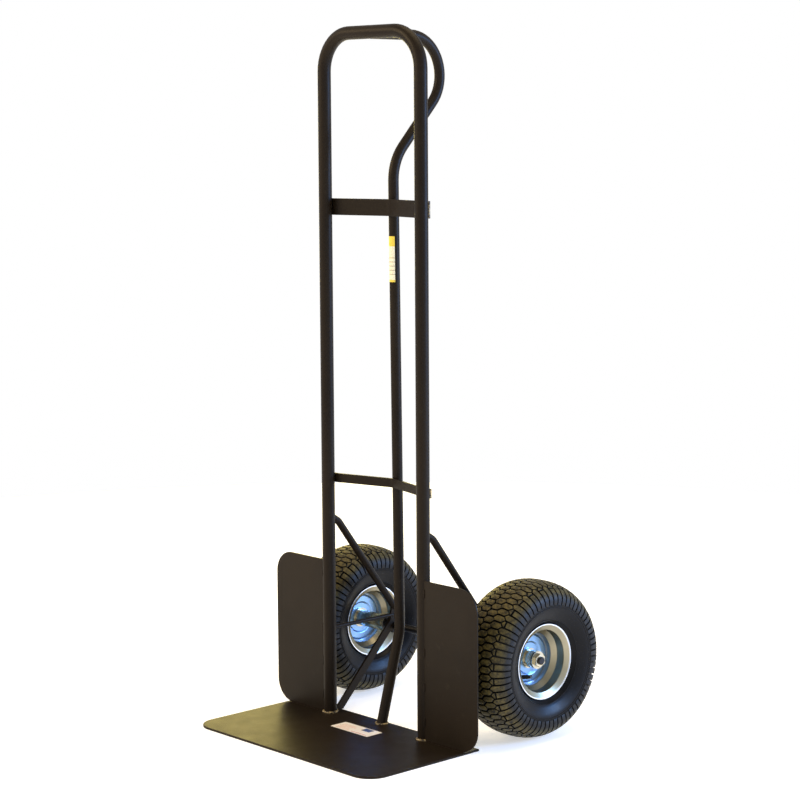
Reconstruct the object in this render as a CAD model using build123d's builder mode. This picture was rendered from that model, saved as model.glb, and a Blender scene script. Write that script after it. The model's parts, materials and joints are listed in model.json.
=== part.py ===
"""Steel hand truck with a P-shaped centre handle, wheel guards and two pneumatic turf wheels.

Frame: millimetres, +Z up.  The origin is on the floor, half way between the two stiles.
+X is the truck's left-to-right direction, -Y is the side the load stands on,
+Y is the side the wheels and the operator are on.
"""
from math import atan2, cos, degrees, radians, sin, sqrt
import os

from build123d import *

os.makedirs("parts", exist_ok=True)

# ---------------------------------------------------------------- driving dimensions
# frame
FRAME_H = 1677.0            # floor to the top of the top bar
STILE_PITCH = 337.0         # stile centre to stile centre
TUBE_R = 16.0               # 32 mm round frame tube
TUBE_WALL = 2.0
TOP_BEND_R = 89.0           # centreline radius of the two top corners

# toe plate
TOE_T = 5.0
TOE_W = 634.0
TOE_FRONT_Y = -308.0
TOE_BACK_Y = 35.0
TOE_CORNER_R = 52.0

# wheel guards, the two side plates beside the stiles
GUARD_T = 3.0
GUARD_FACE_Y = -10.0
GUARD_OUTER_X = 357.0
GUARD_TOP_Z = 387.0
GUARD_CORNER_R = 55.0

# centre handle: one tube from the toe plate to the top bar
HANDLE_R = 12.7
HANDLE_WALL = 2.0
HANDLE_FOOT_Y = 18.0
HANDLE_KNEE = (78.5, 224.0)
HANDLE_KNEE_R = 110.0
HANDLE_NECK = (68.0, 1313.0)     # where the upright starts to bend towards the operator
HANDLE_NECK_R = 117.0
HANDLE_NECK_TURN = 43.3
HANDLE_SLOPE_L = 142.5
HANDLE_LOOP_R = 94.7

# crossbars, flat straps bent to a shallow V that reaches the centre handle
STRAP_T = 5.0
STRAP_END_X = 176.0
UPPER_BAR_Z = 1230.0
UPPER_BAR_H = 40.0
LOWER_BAR_Z = 578.0
LOWER_BAR_H = 22.0

# axle and its brackets
AXLE_Y = 215.0
AXLE_Z = 187.0
AXLE_R = 9.5
AXLE_HALF_L = 347.0
HANGER_T = 6.0
HANGER_OUTLINE = (          # y and z of its corners
    (203.0, 224.0), (209.0, 249.0), (226.0, 249.0), (238.0, 224.0),
    (238.0, 178.0), (226.0, 169.0), (207.0, 169.0), (197.0, 182.0),
)
HANGER_CORNER_R = 4.0
UPPER_BRACE_R = 9.0
UPPER_BRACE_WALL = 1.6
UPPER_BRACE_POINTS = ((9.0, 492.0), (31.0, 478.0), (216.0, 234.0))
UPPER_BRACE_BEND_R = 26.0
LOWER_BRACE_W = 20.0
LOWER_BRACE_T = 6.0
LOWER_BRACE_ENDS = ((22.0, 1.0), (216.0, 206.0))
STRUT_R = 5.0
STRUT_Z = 215.0

# wheels, 15 x 6.00-6 size; points of a wheel's section are (u, r), with u measured outwards
# from the wheel's middle plane and r from the axle
WHEEL_X = 300.0             # wheel's middle plane from the truck's centre
TYRE_R = 187.0
CROWN_HALF_W = 8.0          # flat middle of the tread
TYRE_WIDEST = (78.0, 147.0)
WALL_MIDDLE = (76.6, 127.0)
WALL_FOOT = (70.0, 110.0)
FOOT_MIDDLE = (64.5, 100.6)
BEAD_TOP = (56.5, 93.0)
BEAD_SHOULDER = (52.9, 89.8)
BEAD_HEEL = (45.9, 76.2)
BEAD_TOE = (33.0, 76.2)
CASING_FOOT = (36.0, 84.0)
CASING_SIDE = (62.0, 112.0)
CASING_WIDEST = (68.0, 142.0)
CASING_INNER_R = 175.0      # inside of the tread

RIM_T = 2.0
RIM_FLANGE_R = 89.5
RIM_HALF_W = 54.0
RIM_SEAT_R = 75.0
RIM_SEAT_U = (25.0, 47.0)
RIM_WELL_R = 63.0
RIM_WELL_U = 14.0
DISC_RING_R = (41.0, 54.0)  # raised ring pressed into the disc
DISC_RING_H = 3.0
DISC_RING_SLOPE = 4.5
RIM_BEND_R = 1.4

# hub and bearings
HUB_R = 20.0
HUB_BORE_R = 15.5
HUB_INNER_U = -110.0
HUB_OUTER_U = 28.0
HUB_COLLAR_R = 24.0
HUB_COLLAR_W = 4.0
HOUSING_R = 21.6            # thicker ends of the hub that hold the bearings
HOUSING_L = 14.0
HOUSING_GROOVE_W = 1.6
HOUSING_GROOVE_D = 1.0
CUP_R = 17.4
CUP_BORE_R = 14.0
CUP_DEPTH = 12.0
CUP_FLANGE_R = 21.0
CUP_FLANGE_T = 1.5
CUP_LIP = 1.5               # recess in the flange that takes the seal
CONE_R = 12.2
CONE_BORE_R = AXLE_R + 0.05
CONE_PROUD = 2.6            # how far the cone stands out past the hub end
BALL_R = 2.38
BALL_PITCH_R = 13.1
BALL_GROOVE_R = 2.75
BALL_COUNT = 9
SEAL_T = 1.0
SEAL_GAP = 0.2
WASHER_R = 21.0
WASHER_T = 3.0
NUT_ACROSS_FLATS = 28.6
NUT_H = 8.0
COLLAR_R = 14.0

# tyre valve: a rubber stem that comes out of the rim's well and turns outwards beside the disc
VALVE_R = 5.2
VALVE_U = 8.5               # where it comes through the well
VALVE_RUN_R = 53.2          # radius at which it turns
VALVE_BEND_R = 6.5
VALVE_END = (31.0, 47.3)
VALVE_CAP_END = (39.5, 45.1)
VALVE_CAP_R = 4.5
VALVE_FLANGE_R = 7.5
VALVE_FLANGE_T = 2.0
VALVE_ANGLE = 48.5          # degrees below the forward direction

# labels
LABEL_T = 0.3
TOE_LABEL = (-4.0, -61.0, 132.0, 50.0)    # centre x, centre y, width, depth
HANDLE_LABEL_Z = (1073.0, 1182.0)
HANDLE_LABEL_ARC = 104.0

WELD = 5.0                  # leg of the fillet welds
CROSSBAR_WELD_OFFSET = (9.5, 14.5)        # from the stile's centre to the weld behind it
GUARD_STITCHES = (40.0, 122.0, 205.0, 345.0)
GUARD_STITCH_L = 22.0

STILE_X = STILE_PITCH / 2
SIDES = ((-1, "left"), (1, "right"))


# ---------------------------------------------------------------- helpers
def save(part, node):
    """Label a finished piece and write its STEP file."""
    part.label = node
    export_step(part, f"parts/{node}.step")


def wheel_plane(side):
    """Plane through the axle: local x runs outwards from the wheel centre, local y is the radius."""
    return Plane(origin=(side * WHEEL_X, AXLE_Y, AXLE_Z), x_dir=(side, 0, 0), z_dir=(0, -side, 0))


AXLE_AXIS = Axis((0, AXLE_Y, AXLE_Z), (1, 0, 0))


def handle_y(z):
    """Centreline of the centre handle's upright at height z."""
    share = (z - HANDLE_KNEE[1]) / (HANDLE_NECK[1] - HANDLE_KNEE[1])
    return HANDLE_KNEE[0] + share * (HANDLE_NECK[0] - HANDLE_KNEE[0])


def turned_ring(side, u0, u1, r0, r1):
    """Plain ring about the axle, from u0 to u1 and from radius r0 to r1."""
    with BuildPart() as ring:
        with BuildSketch(wheel_plane(side)):
            with Locations(((u0 + u1) / 2, (r0 + r1) / 2)):
                Rectangle(abs(u1 - u0), r1 - r0)
        revolve(axis=AXLE_AXIS)
    return ring.part


# ---------------------------------------------------------------- main frame
with BuildPart() as main_frame:
    with BuildLine(Plane.XZ) as frame_path:
        FilletPolyline(
            (-STILE_X, TOE_T),
            (-STILE_X, FRAME_H - TUBE_R),
            (STILE_X, FRAME_H - TUBE_R),
            (STILE_X, TOE_T),
            radius=TOP_BEND_R,
        )
    with BuildSketch(Plane.XY.offset(TOE_T)):
        with Locations((-STILE_X, 0)):
            Circle(TUBE_R)
            Circle(TUBE_R - TUBE_WALL, mode=Mode.SUBTRACT)
    sweep(path=frame_path.line)
save(main_frame.part, "main_frame")

# solid cores of the frame tubes, used to cope the pieces that are welded to them
with BuildPart() as stile_cores:
    with BuildSketch(Plane.XY):
        with Locations((-STILE_X, 0), (STILE_X, 0)):
            Circle(TUBE_R)
    extrude(amount=FRAME_H - TOP_BEND_R)
with BuildPart() as top_bar_core:
    with BuildSketch(Plane.YZ):
        with Locations((0, FRAME_H - TUBE_R)):
            Circle(TUBE_R)
    extrude(amount=STILE_X - TOP_BEND_R, both=True)

# ---------------------------------------------------------------- centre handle
# its route is drawn flat, as (y, z), and then stood up in the truck's middle plane
with BuildLine() as handle_outline:
    foot_slope = (HANDLE_KNEE[0] - HANDLE_FOOT_Y) / (HANDLE_KNEE[1] - TOE_T)
    lower_run = FilletPolyline(
        (HANDLE_FOOT_Y - foot_slope * 2 * TOE_T, -TOE_T),
        HANDLE_KNEE,
        HANDLE_NECK,
        radius=HANDLE_KNEE_R,
    )
    neck = JernArc(lower_run @ 1, lower_run % 1, HANDLE_NECK_R, -HANDLE_NECK_TURN)
    slope = Line(neck @ 1, (neck @ 1) + (neck % 1) * HANDLE_SLOPE_L)
    rise = degrees(atan2((slope % 1).Y, (slope % 1).X))
    loop = JernArc(slope @ 1, slope % 1, HANDLE_LOOP_R, 180 - rise)
    Line(loop @ 1, (0, (loop @ 1).Y))
handle_route = handle_outline.line.moved(Plane.YZ.location)
HANDLE_TOP_Z = (handle_route @ 1).Z

with BuildPart() as centre_handle:
    with BuildSketch(Plane(origin=handle_route @ 0, z_dir=handle_route % 0)):
        Circle(HANDLE_R)
        Circle(HANDLE_R - HANDLE_WALL, mode=Mode.SUBTRACT)
    sweep(path=handle_route)
    split(bisect_by=Plane.XY.offset(TOE_T), keep=Keep.TOP)
    add(top_bar_core.part, mode=Mode.SUBTRACT)
save(centre_handle.part, "centre_handle")

with BuildPart() as handle_core:
    with BuildSketch(Plane(origin=handle_route @ 0, z_dir=handle_route % 0)):
        Circle(HANDLE_R)
    sweep(path=handle_route)

# ---------------------------------------------------------------- crossbars
def crossbar(base_z, height):
    """Flat strap across the back of the stiles, bent in the middle to meet the centre handle."""
    end_y = TUBE_R + STRAP_T / 2
    middle_y = handle_y(base_z + height / 2) - HANDLE_R - STRAP_T / 2
    with BuildPart() as strap:
        with BuildSketch(Plane.XY.offset(base_z)):
            with BuildLine():
                FilletPolyline(
                    (-STRAP_END_X, end_y),
                    (-STILE_X + TUBE_R, end_y),
                    (0, middle_y),
                    (STILE_X - TUBE_R, end_y),
                    (STRAP_END_X, end_y),
                    radius=30,
                )
            trace(line_width=STRAP_T)
        extrude(amount=height)
        add(stile_cores.part, mode=Mode.SUBTRACT)
        add(handle_core.part, mode=Mode.SUBTRACT)
    return strap.part


upper_crossbar = crossbar(UPPER_BAR_Z, UPPER_BAR_H)
lower_crossbar = crossbar(LOWER_BAR_Z, LOWER_BAR_H)
save(upper_crossbar, "upper_crossbar")
save(lower_crossbar, "lower_crossbar")

# ---------------------------------------------------------------- toe plate
with BuildPart() as toe_plate:
    with BuildSketch(Plane.XY):
        with Locations((0, (TOE_FRONT_Y + TOE_BACK_Y) / 2)):
            blank = Rectangle(TOE_W, TOE_BACK_Y - TOE_FRONT_Y)
        fillet(blank.vertices().group_by(Axis.Y)[0], TOE_CORNER_R)
        fillet(blank.vertices().group_by(Axis.Y)[-1], 3)
    extrude(amount=TOE_T)
    chamfer(toe_plate.edges().group_by(Axis.Z)[-1], 0.8)
save(toe_plate.part, "toe_plate")

# ---------------------------------------------------------------- wheel guards
guards = []
for side, name in SIDES:
    with BuildPart() as guard:
        with BuildSketch(Plane.XZ.offset(-GUARD_FACE_Y)):
            with Locations((side * (STILE_X + GUARD_OUTER_X) / 2, (TOE_T + GUARD_TOP_Z) / 2)):
                sheet = Rectangle(GUARD_OUTER_X - STILE_X, GUARD_TOP_Z - TOE_T)
            outer_corners = sheet.vertices().group_by(Axis.X)[-1 if side > 0 else 0]
            fillet(outer_corners, GUARD_CORNER_R)
        extrude(amount=-GUARD_T)
        add(stile_cores.part, mode=Mode.SUBTRACT)
    save(guard.part, f"side_plate_{name}")
    guards.append(guard.part)

# ---------------------------------------------------------------- axle and its brackets
with BuildPart() as axle:
    with BuildSketch(Plane.YZ):
        with Locations((AXLE_Y, AXLE_Z)):
            Circle(AXLE_R)
    extrude(amount=AXLE_HALF_L, both=True)
    chamfer(axle.edges().filter_by(GeomType.CIRCLE), 1.5)
save(axle.part, "axle")

lower_braces = []
for side, name in SIDES:
    bracket_plane = Plane.YZ.offset(side * STILE_X)

    # plate that carries the axle and gathers the braces
    with BuildPart() as hanger:
        with BuildSketch(bracket_plane):
            with BuildLine():
                Polyline(*HANGER_OUTLINE, close=True)
            outline = make_face()
            fillet(outline.vertices(), HANGER_CORNER_R)
            with Locations((AXLE_Y, AXLE_Z)):
                Circle(AXLE_R, mode=Mode.SUBTRACT)
        extrude(amount=HANGER_T / 2, both=True)
    save(hanger.part, f"axle_hanger_{name}")

    # upper brace, a bent round tube from the back of the stile down to the hanger
    with BuildLine(bracket_plane) as brace_path:
        FilletPolyline(*UPPER_BRACE_POINTS, radius=UPPER_BRACE_BEND_R)
    brace_route = brace_path.line
    with BuildPart() as upper_brace:
        with BuildSketch(Plane(origin=brace_route @ 0, z_dir=brace_route % 0)):
            Circle(UPPER_BRACE_R)
            Circle(UPPER_BRACE_R - UPPER_BRACE_WALL, mode=Mode.SUBTRACT)
        sweep(path=brace_route)
        add(stile_cores.part, mode=Mode.SUBTRACT)
        add(hanger.part, mode=Mode.SUBTRACT)
    save(upper_brace.part, f"upper_brace_{name}")

    # lower brace, a flat bar from the foot of the stile up to the hanger
    with BuildPart() as lower_brace:
        with BuildSketch(bracket_plane):
            with BuildLine():
                Line(*LOWER_BRACE_ENDS)
            trace(line_width=LOWER_BRACE_W)
        extrude(amount=LOWER_BRACE_T / 2, both=True)
        split(bisect_by=Plane.XY.offset(TOE_T), keep=Keep.TOP)
        add(stile_cores.part, mode=Mode.SUBTRACT)
        add(hanger.part, mode=Mode.SUBTRACT)
        with BuildSketch(bracket_plane):
            with Locations((AXLE_Y, AXLE_Z)):
                Circle(AXLE_R)
        extrude(amount=LOWER_BRACE_T, both=True, mode=Mode.SUBTRACT)
    save(lower_brace.part, f"lower_brace_{name}")
    lower_braces.append(lower_brace.part)

    # level strut, a round rod between the stile and the hanger
    with BuildPart() as strut:
        with BuildSketch(Plane.XZ):
            with Locations((side * STILE_X, STRUT_Z)):
                Circle(STRUT_R)
        extrude(amount=-AXLE_Y)
        add(stile_cores.part, mode=Mode.SUBTRACT)
        add(hanger.part, mode=Mode.SUBTRACT)
        add(lower_brace.part, mode=Mode.SUBTRACT)
        add(upper_brace.part, mode=Mode.SUBTRACT)
    save(strut.part, f"axle_strut_{name}")

# ---------------------------------------------------------------- wheels
def tyre(side):
    """Pneumatic tyre casing: round tread and shoulders, full sidewalls and two beads."""
    widest_u, widest_r = TYRE_WIDEST
    casing_u, casing_r = CASING_WIDEST
    with BuildPart() as casing:
        with BuildSketch(wheel_plane(side)):
            with BuildLine():
                Line((0, TYRE_R), (CROWN_HALF_W, TYRE_R))
                EllipticalCenterArc((CROWN_HALF_W, widest_r), widest_u - CROWN_HALF_W, TYRE_R - widest_r, arc_size=90)
                ThreePointArc(TYRE_WIDEST, WALL_MIDDLE, WALL_FOOT)
                ThreePointArc(WALL_FOOT, FOOT_MIDDLE, BEAD_TOP)
                Polyline(BEAD_TOP, BEAD_SHOULDER, BEAD_HEEL, BEAD_TOE, CASING_FOOT)
                ThreePointArc(CASING_FOOT, CASING_SIDE, CASING_WIDEST)
                EllipticalCenterArc(
                    (CROWN_HALF_W, casing_r), casing_u - CROWN_HALF_W, CASING_INNER_R - casing_r, arc_size=90
                )
                Line((CROWN_HALF_W, CASING_INNER_R), (0, CASING_INNER_R))
                mirror(about=Plane.YZ)
            make_face()
        revolve(axis=AXLE_AXIS)
    return casing.part


def rim_half(side, out):
    """Pressed steel rim half with disc, well, bead seat and flange; out is 1 outside, -1 inside."""
    half_sheet = RIM_T / 2
    ring_u = half_sheet + DISC_RING_H
    ring_inner, ring_outer = DISC_RING_R
    seat_start, seat_end = RIM_SEAT_U
    with BuildPart() as pressing:
        with BuildSketch(wheel_plane(side)):
            with BuildLine():
                FilletPolyline(
                    (out * half_sheet, HUB_R + half_sheet),
                    (out * half_sheet, ring_inner - DISC_RING_SLOPE),
                    (out * ring_u, ring_inner),
                    (out * ring_u, ring_outer),
                    (out * half_sheet, ring_outer + DISC_RING_SLOPE),
                    (out * half_sheet, RIM_WELL_R),
                    (out * RIM_WELL_U, RIM_WELL_R + half_sheet),
                    (out * seat_start, RIM_SEAT_R),
                    (out * seat_end, RIM_SEAT_R),
                    (out * RIM_HALF_W, RIM_FLANGE_R - half_sheet),
                    (out * (RIM_HALF_W + RIM_T), RIM_FLANGE_R - half_sheet),
                    radius=RIM_BEND_R,
                )
            trace(line_width=RIM_T)
        revolve(axis=AXLE_AXIS)
    return pressing.part


def hub(side):
    """Tube through the wheel, long on the inner side, counterbored for a bearing at each end."""
    collar_inner = -RIM_T - HUB_COLLAR_W
    collar_outer = RIM_T + HUB_COLLAR_W
    with BuildPart() as barrel:
        with BuildSketch(wheel_plane(side)):
            with BuildLine():
                Polyline(
                    (HUB_INNER_U, CUP_R), (HUB_INNER_U, HOUSING_R),
                    (HUB_INNER_U + HOUSING_L, HOUSING_R), (HUB_INNER_U + HOUSING_L, HUB_R),
                    (collar_inner, HUB_R), (collar_inner, HUB_COLLAR_R),
                    (-RIM_T, HUB_COLLAR_R), (-RIM_T, HUB_R),
                    (RIM_T, HUB_R), (RIM_T, HUB_COLLAR_R),
                    (collar_outer, HUB_COLLAR_R), (collar_outer, HUB_R),
                    (HUB_OUTER_U - HOUSING_L, HUB_R), (HUB_OUTER_U - HOUSING_L, HOUSING_R),
                    (HUB_OUTER_U, HOUSING_R), (HUB_OUTER_U, CUP_R),
                    (HUB_OUTER_U - CUP_DEPTH, CUP_R), (HUB_OUTER_U - CUP_DEPTH, HUB_BORE_R),
                    (HUB_INNER_U + CUP_DEPTH, HUB_BORE_R), (HUB_INNER_U + CUP_DEPTH, CUP_R),
                    close=True,
                )
            make_face()
            grooves = [(HUB_OUTER_U - HOUSING_L / 2, HOUSING_R), (HUB_INNER_U + HOUSING_L / 2, HOUSING_R)]
            with Locations(*grooves):
                Rectangle(HOUSING_GROOVE_W, 2 * HOUSING_GROOVE_D, mode=Mode.SUBTRACT)
        revolve(axis=AXLE_AXIS)
    return barrel.part


def bearing_cup(side, end, out):
    """Flanged outer race pressed into the hub end at u = end; out points away from the hub."""
    middle = end - out * CUP_DEPTH / 2
    face = end + out * CUP_FLANGE_T
    with BuildPart() as cup:
        with BuildSketch(wheel_plane(side)):
            with BuildLine():
                Polyline(
                    (end - out * CUP_DEPTH, CUP_BORE_R), (end - out * CUP_DEPTH, CUP_R),
                    (end, CUP_R), (end, CUP_FLANGE_R), (face, CUP_FLANGE_R),
                    (face, CUP_BORE_R + CUP_LIP), (end, CUP_BORE_R + CUP_LIP),
                    (end, CUP_BORE_R), close=True,
                )
            make_face()
            with Locations((middle, BALL_PITCH_R)):
                Circle(BALL_GROOVE_R, mode=Mode.SUBTRACT)
        revolve(axis=AXLE_AXIS)
    return cup.part


def bearing_cone(side, end, out):
    """Inner race that stays on the axle."""
    middle = end - out * CUP_DEPTH / 2
    with BuildPart() as cone:
        with BuildSketch(wheel_plane(side)):
            with Locations((end + out * (CONE_PROUD - CUP_DEPTH) / 2, (CONE_BORE_R + CONE_R) / 2)):
                Rectangle(CUP_DEPTH + CONE_PROUD, CONE_R - CONE_BORE_R)
            with Locations((middle, BALL_PITCH_R)):
                Circle(BALL_GROOVE_R, mode=Mode.SUBTRACT)
        revolve(axis=AXLE_AXIS)
    return cone.part


def valve_plane(side):
    """Plane through the axle and the valve: local x runs outwards, local y is the radius."""
    forward, down = cos(radians(VALVE_ANGLE)), sin(radians(VALVE_ANGLE))
    return Plane(
        origin=(side * WHEEL_X, AXLE_Y, AXLE_Z),
        x_dir=(side, 0, 0),
        z_dir=(0, side * down, -side * forward),
    )


def rod(route, radius):
    """Round rod along a route."""
    with BuildPart() as made:
        with BuildSketch(Plane(origin=route @ 0, z_dir=route % 0)):
            Circle(radius)
        sweep(path=route)
    return made.part


both_ends = ((HUB_OUTER_U, 1), (HUB_INNER_U, -1))
for side, name in SIDES:
    save(tyre(side), f"tyre_{name}")
    save(hub(side), f"wheel_hub_{name}")

    # the valve's route starts inside the tyre, at the flange that seals it against the well
    flange_r = RIM_WELL_R + 2.2 * RIM_T / 2 + VALVE_FLANGE_T
    with BuildLine(valve_plane(side)) as stem_line:
        FilletPolyline((VALVE_U, flange_r), (VALVE_U, VALVE_RUN_R), VALVE_END, radius=VALVE_BEND_R)
    with BuildLine(valve_plane(side)) as flange_line:
        Line((VALVE_U, flange_r), (VALVE_U, flange_r - VALVE_FLANGE_T))
    with BuildLine(valve_plane(side)) as cap_line:
        Line(VALVE_END, VALVE_CAP_END)
    stem_rod = rod(stem_line.line, VALVE_R)
    flange_rod = rod(flange_line.line, VALVE_FLANGE_R)
    cap_rod = rod(cap_line.line, VALVE_CAP_R)
    outer_pressing = rim_half(side, 1)

    with BuildPart() as outer_half:
        add(outer_pressing)
        add(stem_rod, mode=Mode.SUBTRACT)
    save(outer_half.part, f"rim_outer_half_{name}")
    save(rim_half(side, -1), f"rim_inner_half_{name}")

    with BuildPart() as valve:
        add(stem_rod)
        add(flange_rod)
        add(outer_half.part, mode=Mode.SUBTRACT)
    save(valve.part, f"valve_stem_{name}")
    with BuildPart() as cap:
        add(cap_rod)
        add(stem_rod, mode=Mode.SUBTRACT)
    save(cap.part, f"valve_cap_{name}")

    cup_rings = [bearing_cup(side, end, out) for end, out in both_ends]
    with BuildPart() as cups:
        add(cup_rings)
    save(cups.part, f"bearing_cups_{name}")

    cone_rings = [bearing_cone(side, end, out) for end, out in both_ends]
    with BuildPart() as cones:
        add(cone_rings)
    save(cones.part, f"bearing_cones_{name}")

    with BuildPart() as balls:
        for end, out in both_ends:
            race_middle = wheel_plane(side).from_local_coords((end - out * CUP_DEPTH / 2, 0))
            with Locations(Plane(origin=race_middle, z_dir=(1, 0, 0))):
                with PolarLocations(BALL_PITCH_R, BALL_COUNT):
                    Sphere(BALL_R)
    save(balls.part, f"bearing_balls_{name}")

    seal_inner_r = CONE_R + 0.3
    seal_outer_r = CUP_BORE_R + CUP_LIP - 0.1
    seal_rings = [
        turned_ring(side, end + out * SEAL_GAP, end + out * (SEAL_GAP + SEAL_T), seal_inner_r, seal_outer_r)
        for end, out in both_ends
    ]
    with BuildPart() as seals:
        add(seal_rings)
    save(seals.part, f"bearing_seals_{name}")

# ---------------------------------------------------------------- axle hardware
inner_cone_end = HUB_INNER_U - CONE_PROUD
outer_cone_end = HUB_OUTER_U + CONE_PROUD
hanger_face_u = -(WHEEL_X - STILE_X - HANGER_T / 2)

spacer_rings = [turned_ring(side, hanger_face_u, inner_cone_end, AXLE_R, COLLAR_R) for side, _ in SIDES]
with BuildPart() as spacers:
    add(spacer_rings)
save(spacers.part, "axle_collars")

washer_rings = [
    turned_ring(side, outer_cone_end, outer_cone_end + WASHER_T, AXLE_R + 0.1, WASHER_R) for side, _ in SIDES
]
with BuildPart() as washers:
    add(washer_rings)
save(washers.part, "axle_washers")

with BuildPart() as nuts:
    for side, _ in SIDES:
        nut_face = wheel_plane(side).from_local_coords((outer_cone_end + WASHER_T, 0))
        with BuildSketch(Plane(origin=nut_face, z_dir=(side, 0, 0))):
            RegularPolygon(NUT_ACROSS_FLATS / 2, 6, major_radius=False)
            Circle(AXLE_R, mode=Mode.SUBTRACT)
        extrude(amount=NUT_H)
save(nuts.part, "axle_nuts")

# ---------------------------------------------------------------- welds
def ring_weld(x, y, radius):
    """Fillet weld round the foot of a tube that stands on the toe plate."""
    with BuildPart() as bead:
        with BuildSketch(Plane(origin=(x, y, TOE_T), x_dir=(1, 0, 0), z_dir=(0, -1, 0))):
            with BuildLine():
                Polyline((radius, 0), (radius + WELD, 0), (radius, WELD), close=True)
            make_face()
        revolve(axis=Axis((x, y, 0), (0, 0, 1)))
    return bead.part


def run_weld(x, y, z, length, radius):
    """Upright weld run in a corner; the pieces beside it are cut away from it afterwards."""
    with BuildPart() as bead:
        with BuildSketch(Plane.XY.offset(z)):
            with Locations((x, y)):
                Circle(radius)
        extrude(amount=length)
    return bead.part


stile_welds = [ring_weld(side * STILE_X, 0, TUBE_R) for side, _ in SIDES]
with BuildPart() as foot_welds:
    add(stile_welds)
    with BuildSketch(Plane.XY.offset(TOE_T)):
        with Locations((0, HANDLE_FOOT_Y)):
            Circle(HANDLE_R + WELD)
    extrude(amount=WELD, taper=40)
    add(handle_core.part, mode=Mode.SUBTRACT)
    for neighbour in guards + lower_braces:
        add(neighbour, mode=Mode.SUBTRACT)
save(foot_welds.part, "foot_welds")

bar_beads = [
    run_weld(side * (STILE_X + CROSSBAR_WELD_OFFSET[0]), CROSSBAR_WELD_OFFSET[1], base_z + 1, height - 2, WELD * 0.7)
    for side, _ in SIDES
    for base_z, height in ((UPPER_BAR_Z, UPPER_BAR_H), (LOWER_BAR_Z, LOWER_BAR_H))
]
with BuildPart() as crossbar_welds:
    add(bar_beads)
    for neighbour in (stile_cores.part, upper_crossbar, lower_crossbar):
        add(neighbour, mode=Mode.SUBTRACT)
save(crossbar_welds.part, "crossbar_welds")

seam_x = STILE_X + sqrt(TUBE_R ** 2 - GUARD_FACE_Y ** 2)
seam_beads = [
    run_weld(side * seam_x, GUARD_FACE_Y, stitch_z, GUARD_STITCH_L, WELD * 0.5)
    for side, _ in SIDES
    for stitch_z in GUARD_STITCHES
]
with BuildPart() as guard_welds:
    add(seam_beads)
    for neighbour in [stile_cores.part] + guards:
        add(neighbour, mode=Mode.SUBTRACT)
save(guard_welds.part, "guard_welds")

# ---------------------------------------------------------------- labels
label_x, label_y, label_w, label_d = TOE_LABEL
with BuildPart() as toe_label:
    with BuildSketch(Plane.XY.offset(TOE_T)):
        with Locations((label_x, label_y)):
            RectangleRounded(label_w, label_d, 2)
    extrude(amount=LABEL_T)
save(toe_label.part, "toe_plate_label")

label_bottom, label_top = HANDLE_LABEL_Z
label_base = Vector(0, handle_y(label_bottom), label_bottom)
label_end = Vector(0, handle_y(label_top), label_top)
with BuildPart() as handle_label:
    with BuildSketch(Plane(origin=label_base, x_dir=(1, 0, 0), z_dir=label_end - label_base)):
        with BuildLine():
            first = -90 - HANDLE_LABEL_ARC / 2
            inner = CenterArc((0, 0), HANDLE_R, first, HANDLE_LABEL_ARC)
            outer = CenterArc((0, 0), HANDLE_R + LABEL_T, first, HANDLE_LABEL_ARC)
            Line(inner @ 0, outer @ 0)
            Line(inner @ 1, outer @ 1)
        make_face()
    extrude(amount=(label_end - label_base).length)
save(handle_label.part, "handle_label")
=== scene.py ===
"""Looks of the hand truck: materials, tyres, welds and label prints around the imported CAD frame."""
import json
from math import cos, pi, radians, sin, sqrt

import bmesh
import bpy
from mathutils import Matrix, Vector


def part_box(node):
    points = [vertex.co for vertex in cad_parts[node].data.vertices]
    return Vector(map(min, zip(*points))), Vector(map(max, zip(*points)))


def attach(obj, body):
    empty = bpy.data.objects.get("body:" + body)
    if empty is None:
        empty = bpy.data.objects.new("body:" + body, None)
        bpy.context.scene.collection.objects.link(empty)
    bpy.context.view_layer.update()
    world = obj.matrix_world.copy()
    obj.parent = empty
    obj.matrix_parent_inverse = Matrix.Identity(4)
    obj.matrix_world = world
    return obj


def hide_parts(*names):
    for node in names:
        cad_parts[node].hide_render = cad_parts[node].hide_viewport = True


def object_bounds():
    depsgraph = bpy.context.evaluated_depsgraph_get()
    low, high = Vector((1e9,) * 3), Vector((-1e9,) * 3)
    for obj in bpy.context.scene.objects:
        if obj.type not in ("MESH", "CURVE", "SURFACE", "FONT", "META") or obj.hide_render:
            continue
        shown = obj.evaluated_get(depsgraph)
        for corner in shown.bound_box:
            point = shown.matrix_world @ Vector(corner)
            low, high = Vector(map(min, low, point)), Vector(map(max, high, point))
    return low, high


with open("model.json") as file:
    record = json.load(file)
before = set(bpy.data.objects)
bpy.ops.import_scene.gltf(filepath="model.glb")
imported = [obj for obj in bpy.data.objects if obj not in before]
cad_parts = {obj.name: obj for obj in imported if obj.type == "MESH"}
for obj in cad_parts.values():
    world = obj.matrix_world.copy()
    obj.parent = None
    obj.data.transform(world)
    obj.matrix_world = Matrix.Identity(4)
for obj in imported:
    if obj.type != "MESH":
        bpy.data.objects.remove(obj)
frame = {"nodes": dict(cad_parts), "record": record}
CAD_BOX = [list(corner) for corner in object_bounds()]
NODES = frame["nodes"]

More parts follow.
